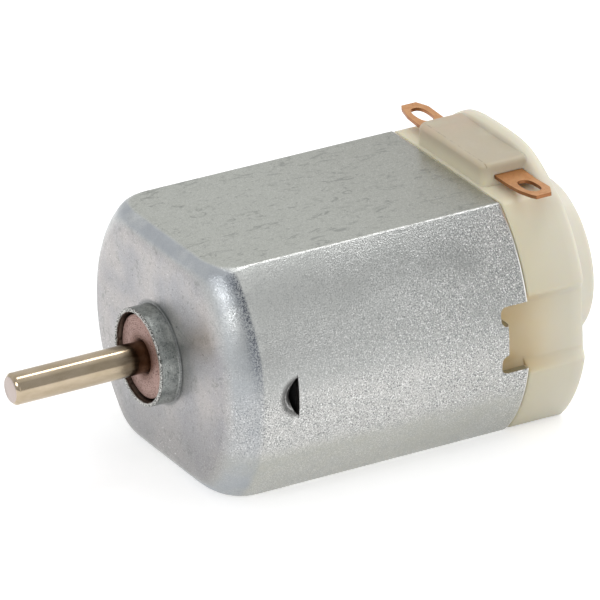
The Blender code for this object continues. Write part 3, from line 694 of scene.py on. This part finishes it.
def copper_strip():
    """Rolled strip: fine lines along it, and painted shade on faces that stand on edge, such as its cut
    edges.
    """
    n = Nodes("copper_strip")
    lines = n.noise(0.06 * MM, 2, 0.5, n.stretched(0.08, 1.0, 1.0))
    mottle = n.noise(0.5 * MM, 4, 0.6)
    base = n.mix(n.fit(mottle, 0.3, 0.75), (0.76, 0.41, 0.19), (0.62, 0.30, 0.13))
    # painted shade on the faces that stand on edge
    edge_on_painted_shade = n.fit(n.math("ABSOLUTE", n.facing()[2]), 0.75, 0.35)
    base = n.mix(n.times(edge_on_painted_shade, 0.75), base, (0.26, 0.10, 0.045))
    base = n.mix(n.fit(n.noise(0.12 * MM, 2), 0.62, 0.7, 0, 0.5), base, (0.40, 0.18, 0.09))
    rough = n.fit(mottle, 0.3, 0.7, 0.30, 0.45)
    normal = n.bump(lines, 0.012 * MM, 0.4, n.soft_edges(0.05 * MM))
    n.set(Base_Color=base, Metallic=1.0, Roughness=rough, Normal=normal)
    return n.material


def plain_surface(name, first, second, rough, grain, metallic=1.0):
    """Two tones and a fine bump, for the pieces inside."""
    n = Nodes(name)
    base = n.mix(n.fit(n.noise(0.8 * MM, 3), 0.35, 0.7), first, second)
    fine = n.noise(grain, 2)
    roughness = n.fit(fine, 0.3, 0.7, rough, rough + 0.12)
    n.set(Base_Color=base, Metallic=metallic, Roughness=roughness, Normal=n.bump(fine, 0.012 * MM, 0.4))
    return n.material


def enamelled_wire():
    """Close turns of varnished copper wire."""
    n = Nodes("enamelled_wire")
    wave = n.add("ShaderNodeTexWave", wave_type="BANDS", bands_direction="DIAGONAL")
    n.plug(wave.inputs["Vector"], n.place)
    wave.inputs["Scale"].default_value = 1 / (0.8 * MM)
    wave.inputs["Distortion"].default_value = 0.6
    turns = wave.outputs["Fac"]
    base = n.mix(turns, (0.32, 0.09, 0.03), (0.62, 0.24, 0.10))
    rough = n.fit(n.noise(0.2 * MM, 2), 0.3, 0.7, 0.22, 0.36)
    normal = n.bump(turns, 0.05 * MM, 0.6)
    n.set(Base_Color=base, Metallic=0.7, Roughness=rough, Normal=normal, Coat_Weight=0.4)
    return n.material


ZINC = zinc_plate()
SHAFT_STEEL = polished_shaft()
BRONZE = sintered_bronze()
NYLON = natural_nylon()
COPPER = copper_strip()
ENAMEL = enamelled_wire()
FERRITE = plain_surface("ferrite", (0.045, 0.045, 0.05), (0.08, 0.08, 0.085), 0.6, 0.1 * MM, 0.2)
SPRING = plain_surface("spring_wire", (0.50, 0.50, 0.51), (0.40, 0.40, 0.42), 0.25, 0.06 * MM)
CORE = plain_surface("core_sheet", (0.30, 0.31, 0.33), (0.40, 0.41, 0.43), 0.4, 0.08 * MM)
INSULATION = plain_surface("red_insulation", (0.62, 0.08, 0.05), (0.74, 0.13, 0.08), 0.35, 0.2 * MM, 0.0)
FIBRE = plain_surface("washer_fibre", (0.26, 0.13, 0.07), (0.34, 0.18, 0.10), 0.6, 0.1 * MM, 0.0)


# ---------------------------------------------------------------- can


def fillet(radius, station):
    """How far a quarter-round front edge has drawn in at a station."""
    short = max(0.0, radius - station)
    return radius - math.sqrt(radius**2 - short**2)


def dimple(station, z):
    """How far the lanced lip ahead of each magnet stop is pressed in."""
    if station > LANCE_EDGE - 0.01 * MM:
        return 0.0
    along = (LANCE_EDGE - station) / DIMPLE_REACH
    across = abs(z - LANCE_CENTRE) / DIMPLE_HALF_WIDTH
    return DIMPLE_DEPTH * max(0.0, 1 - math.hypot(along, across)) ** 2


def can_ring(inset, station, softness=CORNER_SOFTNESS):
    """One ring of the can's wall, drawn in by the wall's depth below the outer skin."""
    radius = CAN_RADIUS - fillet(ROUND_SIDE_FILLET, station) - inset
    half_height = CAN_HALF_HEIGHT - fillet(FLAT_SIDE_FILLET, station) - inset
    return ring_at(flattened(radius, half_height, softness), station)


def pressed(ring):
    """The ring with the dimple pressed in on both sides."""
    moved = []
    for point in ring:
        station = point.y - FRONT_Y
        z = point.z - AXIS_HEIGHT
        depth = dimple(station, z)
        moved.append(Vector((point.x - math.copysign(depth, point.x), point.y, point.z)))
    return moved


def corner_softness(station):
    """The edges between flats and round sides fade out towards the front face."""
    return CORNER_SOFTNESS + 0.75 * MM * smoothstep(1 - station / (3.2 * MM))


def ragged(radius, amount):
    """A circle whose radius wanders, as a sheared edge does."""
    waves = [(random.uniform(5, 60), random.uniform(0, 6.3), random.uniform(0.3, 1)) for _ in range(9)]
    wander = sum(w * np.sin(np.round(f) * ANGLES + p) for f, p, w in waves)
    return radius + amount * wander / 3


def can_stations():
    """Rings behind the front face, closest over the front fillet and the dimples."""
    fillet_steps = (0.0, 0.03, 0.08, 0.15, 0.24, 0.34, 0.45, 0.57, 0.70, 0.84)
    stations = [ROUND_SIDE_FILLET * step for step in fillet_steps]
    stations += list(np.arange(ROUND_SIDE_FILLET, LANCE_EDGE, 0.09 * MM))
    stations += [LANCE_EDGE - 0.02 * MM, LANCE_EDGE, 8 * MM, 12 * MM, 16 * MM]
    return stations


def build_can():
    stations = can_stations()
    rim = CAN_LENGTH
    outer = [pressed(can_ring(0, s, corner_softness(s))) for s in stations]
    # the two straight rings before the rim's rounding keep the shading of the sides straight
    rim_rounding = ((0, 0.22), (0, 0.13), (0.03, 0.05), (0.10, 0))
    outer += [can_ring(inset * MM, rim - ahead * MM) for inset, ahead in rim_rounding]
    nose = [*NOSE_FLARE]
    nose += [(NOSE_RADIUS, station * MM) for station in (-0.08, -0.2, -1.22)]
    skin = [ring_at(circle(radius), station) for radius, station in reversed(nose)]
    lip = [
        ring_at(ragged(3.07 * MM, 0.010 * MM), -1.30 * MM),
        ring_at(ragged(3.02 * MM, 0.018 * MM), -1.385 * MM),
        ring_at(ragged(2.92 * MM, 0.018 * MM), -1.395 * MM),
        ring_at(ragged(2.84 * MM, 0.018 * MM), -1.37 * MM),
        ring_at(circle(NOSE_BORE), -1.26 * MM),
        ring_at(circle(NOSE_BORE), CAN_WALL),
    ]
    inner = [pressed(can_ring(CAN_WALL, s)) for s in stations if s > CAN_WALL]
    first_inner = flattened(CAN_RADIUS - 2.9 * MM, CAN_HALF_HEIGHT - 1.7 * MM, 0.5 * MM)
    inner.insert(0, ring_at(first_inner, CAN_WALL))
    inner += [can_ring(CAN_WALL, rim - 0.06 * MM), can_ring(CAN_WALL - 0.05 * MM, rim)]
    bm = bmesh.new()
    add_loft(bm, list(reversed(lip)) + skin + outer + list(reversed(inner)))
    can = new_object("can_shell", bm)
    combine(can, notch_cutters() + lance_cutters(), "DIFFERENCE")
    combine(can, folded_tabs(), "UNION")
    can.name = "can_body"
    return dress(can, "stator", ZINC, ["can"], 32)


def prism(name, outline, low, high, axis="x"):
    """An outline of (station, z) or (x, station) pairs given a thickness along x or z."""
    bm = bmesh.new()
    if axis == "x":
        rings = [[at(x, s, z) for s, z in outline] for x in (low, high)]
    else:
        rings = [[at(x, s, z) for x, s in outline] for z in (low, high)]
    add_loft(bm, rings, "capped")
    return new_object(name, bm)


def notch_cutters():
    """At the rim of each round side: a slot either side of the tab, with a rounded end."""
    beyond = CAN_LENGTH + MM
    w, t = NOTCH_HALF_WIDTH, TAB_HALF_WIDTH
    tab_root = TAB_FOLD - 0.2 * MM
    relief = 0.42 * MM
    tight = 0.05 * MM
    outline = rounded_outline(
        [
            (beyond, -w, 0),
            (NOTCH_START, -w, relief),
            (NOTCH_START, -t, relief),
            (tab_root, -t, tight),
            (tab_root, t, tight),
            (NOTCH_START, t, relief),
            (NOTCH_START, w, relief),
            (beyond, w, 0),
        ]
    )
    return [
        prism(f"{name}_notch", outline, side * 8 * MM, side * (CAN_RADIUS + MM))
        for side, name in SIDES
    ]


def lance_cutters():
    """The half-moon opening between the straight sheared edge and the pressed-in lip."""
    steps = 20
    outline = []
    for i in range(steps + 1):
        turn = math.pi / 2 + math.pi * i / steps
        z = LANCE_HALF_WIDTH * math.sin(turn) + LANCE_CENTRE
        outline.append((LANCE_EDGE + LANCE_DEPTH * math.cos(turn), z))
    return [
        prism(f"{name}_lance", outline, side * 7.5 * MM, side * (CAN_RADIUS + MM))
        for side, name in SIDES
    ]


def folded_tabs():
    """The tab between the slots turns inwards round a small bend."""
    start = TAB_FOLD - TAB_BEND
    path = [(0.0, start - 0.3 * MM, 0.0)]
    steps = 8
    for i in range(steps + 1):
        turn = math.pi / 2 * i / steps
        path.append((TAB_BEND * (1 - math.cos(turn)), start + TAB_BEND * math.sin(turn), turn))
    path.append((TAB_TUCK, TAB_FOLD, math.pi / 2))

    # a little narrower and thinner than the wall, so that the join has no coincident faces
    half_width = TAB_HALF_WIDTH - 0.004 * MM
    skin = CAN_RADIUS - 0.003 * MM
    thickness = CAN_WALL - 0.02 * MM
    across = np.linspace(-half_width, half_width, 7)
    sag = CAN_RADIUS - np.sqrt(CAN_RADIUS**2 - across**2)
    tabs = []
    for side, name in SIDES:
        rings = []
        for drop, station, turn in path:
            top = [at(side * (skin - drop - g), station, z) for z, g in zip(across, sag)]
            inner = CAN_RADIUS - drop - thickness * math.cos(turn)
            behind = station - thickness * math.sin(turn)
            under = [at(side * (inner - g), behind, z) for z, g in zip(across, sag)]
            rings.append(top + under[::-1])
        bm = bmesh.new()
        add_loft(bm, rings, "capped")
        tabs.append(new_object(f"{name}_tab", bm))
    return tabs


# ---------------------------------------------------------------- end cap


def grooved(distances, station):
    """Cuts each round side's groove into an outline. It is deeper and wider under the can."""
    rise = smoothstep((station / MM - 18.8) / 2.9)
    floor = CAN_RADIUS - (1.45 - 0.65 * rise) * MM
    narrowing = smoothstep((station / MM - 19.2) / 0.7)
    half_width = GROOVE_HALF_WIDTH + 0.3 * MM * (1 - narrowing)
    z = np.abs(distances * SINES)
    open_share = 1 - smoothstep((z - half_width + GROOVE_LIP) / (2 * GROOVE_LIP))
    open_share = np.where(np.abs(COSINES) > 0.8, open_share, 0)
    bottom = np.minimum(distances, floor / np.maximum(np.abs(COSINES), 0.5))
    return distances + (bottom - distances) * open_share


def hump(inset, softness=0.5 * MM):
    """The flange's outline below, and a rounded back above that reaches the cap's full height."""
    high = smoothstep((SINES - 0.68) / 0.12)
    radius = CAN_RADIUS + (HUMP_RADIUS - CAN_RADIUS) * high - inset
    lower = flattened(CAN_RADIUS - inset, CAN_HALF_HEIGHT - inset, 0.25 * MM)
    upper = soft_min(radius, (HUMP_TOP - inset) / np.maximum(SINES, 1e-6), softness)
    return np.where(SINES > 0, upper, lower)


def boss_profile(plate):
    """(radius, station) pairs of the rear boss, from its root over its end and back in to the bush's seat."""
    arc = BOSS_ROUNDING
    profile = corner_arc((BOSS_RADIUS + arc, CAP_REAR + arc), arc, 270, 180, 4)
    profile += corner_arc((BOSS_RADIUS - arc, BOSS_END - arc), arc, 0, 90, 5)
    profile += [(REAR_OPENING + 0.15 * MM, BOSS_END), (REAR_OPENING, BOSS_END - 0.12 * MM)]
    profile += [(REAR_OPENING, BUSH_SEAT_END)]
    profile += [(BUSH_SEAT_RADIUS, BUSH_SEAT_END), (BUSH_SEAT_RADIUS, plate)]
    return profile


def build_end_cap():
    r, h = CAN_RADIUS, CAN_HALF_HEIGHT
    gap = 0.05 * MM
    spigot = r - CAN_WALL - gap
    spigot_h = h - CAN_WALL - gap
    plate = CAP_REAR - BACK_PLATE
    soft = 0.35 * MM
    cavity_outline = flattened(CAVITY_RADIUS, CAVITY_HALF_HEIGHT, soft)
    spigot_outline = flattened(spigot, spigot_h, soft)
    rings = [
        ring_at(cavity_outline, plate),
        ring_at(cavity_outline, CAP_FRONT),
        ring_at(spigot_outline, CAP_FRONT),
        ring_at(spigot_outline, 18.25 * MM),
    ]
    for station in (18.3 * MM, 18.8 * MM, 19.2 * MM, 19.6 * MM, 19.9 * MM, CAP_SHOULDER):
        rings.append(ring_at(grooved(spigot_outline, station), station))
    shoulder_rounding = 0.18 * MM
    for t in (0, 30, 60, 90):
        turn = math.radians(t)
        inset = shoulder_rounding * (1 - math.sin(turn))
        station = CAP_SHOULDER + shoulder_rounding * (1 - math.cos(turn))
        rings.append(ring_at(grooved(flattened(r - inset, h - inset, soft), station), station))
    flange_end = plate - 0.2 * MM
    low = flattened(r, h, soft)
    for station in (20.7 * MM, 21.0 * MM, 21.4 * MM, 21.8 * MM, flange_end):
        rings.append(ring_at(grooved(low, station), station))
    # the top flat rises into the back plate over a large round
    slope = 0.7 * MM
    high = hump(0.0)
    for t in (10, 20, 30, 40, 50, 60, 70, 80, 90):
        turn = math.radians(t)
        station = flange_end + slope * (1 - math.cos(turn))
        rings.append(ring_at(grooved(low + (high - low) * math.sin(turn), station), station))
    rear_rounding = 0.32 * MM
    for t in (0, 18, 36, 54, 72, 90):
        turn = math.radians(t)
        inset = rear_rounding * (1 - math.cos(turn))
        station = CAP_REAR - rear_rounding * (1 - math.sin(turn))
        rings.append(ring_at(grooved(hump(inset), station), station))
    rings += [ring_at(circle(radius), station) for radius, station in boss_profile(plate)]
    bm = bmesh.new()
    add_loft(bm, rings)
    cap = new_object("cap_shell", bm)
    combine(cap, [terminal_block()], "UNION")
    combine(cap, terminal_slots(), "DIFFERENCE")
    cap.name = "end_cap_moulding"
    return dress(cap, "stator", NYLON, ["end_cap"], 38)


def terminal_block():
    """A low block with soft edges and slightly leaning ends."""
    front, rear = BLOCK_SPAN
    radius = BLOCK_ROUNDING
    corner = 0.55 * MM
    levels = [(CAN_HALF_HEIGHT - 0.45 * MM, 0.0), (CAN_HALF_HEIGHT + 0.1 * MM, 0.0)]
    for t in range(0, 91, 15):
        turn = math.radians(t)
        levels.append((BLOCK_TOP - radius * (1 - math.sin(turn)), radius * (1 - math.cos(turn))))
    rings = []
    for level, inset in levels:
        lean = 0.07 * (level - CAN_HALF_HEIGHT)
        half = BLOCK_HALF_LENGTH - inset - lean
        near, far = front + inset + lean / 2, rear + MM
        corners = [(-half, near, corner), (half, near, corner), (half, far, 0), (-half, far, 0)]
        rings.append([at(x, s, level) for x, s in rounded_outline(corners)])
    bm = bmesh.new()
    add_loft(bm, rings, "capped")
    block = new_object("block", bm)
    # the part behind the block's rear face is cut off square
    wide, deep = 9 * MM, 2 * MM
    behind = [(-wide, rear), (wide, rear), (wide, rear + deep), (-wide, rear + deep)]
    back = prism("block_back", behind, 6 * MM, 12 * MM, "z")
    return combine(block, [back], "DIFFERENCE")


# ---------------------------------------------------------------- terminals


def strip_line():
    """Middle line of the right-hand strip as (x, z, front edge, rear edge) from its foot to its tip."""
    near, far = STRIP_SPAN
    rise = ((3.3, -4.4), (3.3, -0.45), (3.36, -0.2), (3.55, -0.03))
    line = [(x * MM, STRIP_HEIGHT + z * MM, near, far) for x, z in rise]
    flat_run = np.concatenate([np.arange(3.8, 8.0, 0.2), [8.0, 8.2, STRIP_TIP / MM]])
    for x in flat_run:
        sag = np.interp(x, [3.8, 4.6, 5.6, 7.0, 8.4], [0.0, -0.03, -0.07, -0.02, 0.05])
        front_taper = np.interp(x, [3.8, 6.9, 8.0, 8.4], [0.0, 0.12, 0.34, 0.52])
        rear_taper = np.interp(x, [3.8, 7.5, 8.4], [0.0, 0.0, 0.42])
        line.append((x * MM, STRIP_HEIGHT + sag * MM, near + front_taper * MM, far - rear_taper * MM))
    return line


def strip_rings(line, side, thickness, spare=0.0):
    """Sections of a strip along its line, with room to spare at both edges."""
    rings = []
    for i, (x, z, front, rear) in enumerate(line):
        before, after = line[max(i - 1, 0)], line[min(i + 1, len(line) - 1)]
        along = Vector((after[0] - before[0], after[1] - before[1])).normalized()
        across = Vector((-along.y, along.x)) * thickness / 2
        upper, lower = (x + across.x, z + across.y), (x - across.x, z - across.y)
        front, rear = front - spare, rear + spare
        corners = ((upper, front), (upper, rear), (lower, rear), (lower, front))
        rings.append([at(side * p[0], station, p[1]) for p, station in corners])
    return rings


def terminal_slots():
    """Where the strips pass through the moulding, with a little room round them."""
    spare = 0.02 * MM
    inside_block = strip_line()[:8]
    cutters = []
    for side, name in SIDES:
        bm = bmesh.new()
        add_loft(bm, strip_rings(inside_block, side, STRIP_THICKNESS + 2 * spare, spare), "capped")
        cutters.append(new_object(f"{name}_slot", bm))
    return cutters


def eye_outline(side, steps=40):
    """A superellipse, which has straighter sides than an ellipse."""
    half_x, half_y = EYE_HALF_SIZES
    power = 0.8
    outline = []
    for i in range(steps):
        turn = 2 * math.pi * i / steps
        c, s = math.cos(turn), math.sin(turn)
        x = math.copysign(abs(c) ** power, c) * half_x
        y = math.copysign(abs(s) ** power, s) * half_y
        outline.append((side * EYE_CENTRE[0] + x, EYE_CENTRE[1] + y))
    return outline


def build_terminals():
    for side, name in SIDES:
        node = f"terminal_{name}"
        bm = bmesh.new()
        add_loft(bm, strip_rings(strip_line(), side, STRIP_THICKNESS), "capped")
        strip = new_object(f"{node}_strip", bm)
        hole = prism(f"{node}_eye", eye_outline(side), 7 * MM, 9 * MM, "z")
        combine(strip, [hole], "DIFFERENCE")
        strip.name = f"{node}_tab"
        dress(strip, "stator", COPPER, [node], 25)


# ---------------------------------------------------------------- shaft and bearings


def build_shaft():
    front, rear = shaft_low.y - FRONT_Y, shaft_high.y - FRONT_Y
    r = SHAFT_RADIUS
    chamfer = SHAFT_CHAMFER
    profile = [(0, front)]
    profile += [(r - chamfer, front), (r - chamfer + 0.04 * MM, front + 0.02 * MM)]
    profile += [(r - 0.03 * MM, front + chamfer - 0.06 * MM), (r, front + chamfer + 0.02 * MM)]
    # a short band at each end keeps the shading of the long cylinder straight
    profile += [(r, front + chamfer + 0.07 * MM), (r, rear - chamfer - 0.05 * MM)]
    profile += [(r, rear - chamfer), (r - chamfer, rear), (0, rear)]
    turned("shaft_rod", profile, "rotor", SHAFT_STEEL, ["shaft"], 96, 28)


def build_bearings():
    bore = SHAFT_RADIUS + BUSH_CLEARANCE
    edge = BUSH_CHAMFER
    for name, outer in BUSH_OUTER.items():
        low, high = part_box(name)
        near, far = low.y - FRONT_Y, high.y - FRONT_Y
        profile = [
            (bore + edge, near),
            (bore, near + 0.1 * MM),
            (bore, far - 0.1 * MM),
            (bore + edge, far),
            (outer - edge, far),
            (outer, far - edge),
            (outer, near + edge),
            (outer - 0.04 * MM, near + 0.04 * MM),
            (outer - edge, near),
        ]
        turned(name + "_bush", profile, "stator", BRONZE, [name], 96, 30)


# ---------------------------------------------------------------- inner CAD pieces

INNER_SURFACES = {
    "lamination_": CORE,
    "coil_": ENAMEL,
    "commutator_segment_": COPPER,
    "brush_": COPPER,
    "magnet_left": FERRITE,
    "magnet_right": FERRITE,
    "magnet_clip": SPRING,
    "front_insulator": INSULATION,
    "rear_insulator": INSULATION,
    "front_spacer": INSULATION,
    "commutator_hub": INSULATION,
    "commutator_ring": FIBRE,
    "front_washer": FIBRE,
    "rear_washer": FIBRE,
}


def dress_inner_pieces():
    for name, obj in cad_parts.items():
        for start, surface in INNER_SURFACES.items():
            if name.startswith(start):
                obj.data.materials.clear()
                obj.data.materials.append(surface)


# ---------------------------------------------------------------- stage, lights and camera


def build_stage():
    """A pale floor that takes the motor's shadow, and glows where it is looked at or mirrored."""
    bm = bmesh.new()
    bmesh.ops.create_grid(bm, x_segments=1, y_segments=1, size=3.0)
    floor = new_object("floor", bm)
    floor.location.z = -0.02 * MM
    material = bpy.data.materials.new("pale_floor")
    material.use_nodes = True
    g = Graph(material.node_tree)
    g.tree.nodes.clear()
    diffuse = g.add("ShaderNodeBsdfDiffuse")
    diffuse.inputs["Color"].default_value = FLOOR_COLOUR
    glow = g.add("ShaderNodeEmission")
    ray = g.add("ShaderNodeLightPath").outputs
    seen = g.most(ray["Is Camera Ray"], ray["Is Glossy Ray"], ray["Is Transmission Ray"])
    g.plug(glow.inputs["Strength"], g.times(seen, FLOOR_GLOW))
    both = g.add("ShaderNodeAddShader")
    g.plug(both.inputs[0], diffuse.outputs[0])
    g.plug(both.inputs[1], glow.outputs[0])
    g.plug(g.add("ShaderNodeOutputMaterial").inputs["Surface"], both.outputs[0])
    floor.data.materials.append(material)


def build_world():
    """A pale room: white where it is seen, a little darker in reflections, and plain as a light."""
    world = bpy.data.worlds.new("studio")
    world.use_nodes = True
    g = Graph(world.node_tree)
    ray = g.add("ShaderNodeLightPath").outputs
    out = g.split(g.add("ShaderNodeTexCoord").outputs["Generated"])
    mirrored = g.fit(out["X"], *GLOSS_SPAN, *GLOSS_LEVELS, smooth=True)
    level = g.mix(ray["Is Glossy Ray"], WORLD_LEVEL, mirrored)
    level = g.mix(ray["Is Transmission Ray"], level, 1.0)
    level = g.mix(ray["Is Camera Ray"], level, 1.0)
    background = g.tree.nodes["Background"]
    g.plug(background.inputs["Color"], (1.0, 1.0, 1.0))
    g.plug(background.inputs["Strength"], level)
    bpy.context.scene.world = world


def direction(azimuth, elevation):
    """A unit vector out from the motor, from degrees. Azimuth 0 is in front of the shaft's tip."""
    a, e = math.radians(azimuth), math.radians(elevation)
    return Vector((math.sin(a) * math.cos(e), -math.cos(a) * math.cos(e), math.sin(e)))


def place_facing(obj, aim, back, distance, roll=0.0):
    """Links a lamp or camera that looks at a point from a distance away along back."""
    obj.rotation_mode = "QUATERNION"
    turned_by = Matrix.Rotation(roll, 3, "Z").to_quaternion()
    obj.rotation_quaternion = back.to_track_quat("Z", "Y") @ turned_by
    obj.location = aim + back * distance
    bpy.context.scene.collection.objects.link(obj)


def softbox(name, azimuth, elevation, distance, size, power):
    """An area lamp aimed at the motor's middle."""
    lamp = bpy.data.lights.new(name, "AREA")
    lamp.shape = "RECTANGLE"
    lamp.size, lamp.size_y = size
    lamp.energy = power
    aim = Vector((0, 0, AXIS_HEIGHT))
    place_facing(bpy.data.objects.new(name, lamp), aim, direction(azimuth, elevation), distance)


def build_lights():
    softbox("edge_light", 195, 64, 0.35, (0.06, 0.24), 0.24)
    softbox("overhead", 80, 80, 0.40, (0.40, 0.30), 0.12)
    softbox("front_window", 19, 32, 0.40, (0.14, 0.12), 0.26)
    softbox("side_window", 85, 15, 0.45, (0.12, 0.20), 0.06)
    softbox("low_side", 145, 6, 0.45, (0.15, 0.15), 0.14)
    softbox("rear_window", 172, 8, 0.40, (0.12, 0.20), 0.12)


def build_camera():
    """A long lens, a little rolled, looking down on the front right side."""
    camera = bpy.data.cameras.new("camera")
    camera.lens = CAMERA_LENS
    camera.sensor_width = 36.0
    camera.clip_start = 0.01
    camera.clip_end = 20
    obj = bpy.data.objects.new("camera", camera)
    back = direction(*CAMERA_ANGLES)
    place_facing(obj, at(*CAMERA_AIM), back, CAMERA_DISTANCE, math.radians(CAMERA_ROLL))
    bpy.context.scene.camera = obj


build_can()
build_end_cap()
build_terminals()
build_shaft()
build_bearings()
dress_inner_pieces()
build_stage()
build_world()
build_lights()
build_camera()
bpy.context.scene.view_settings.view_transform = "Standard"
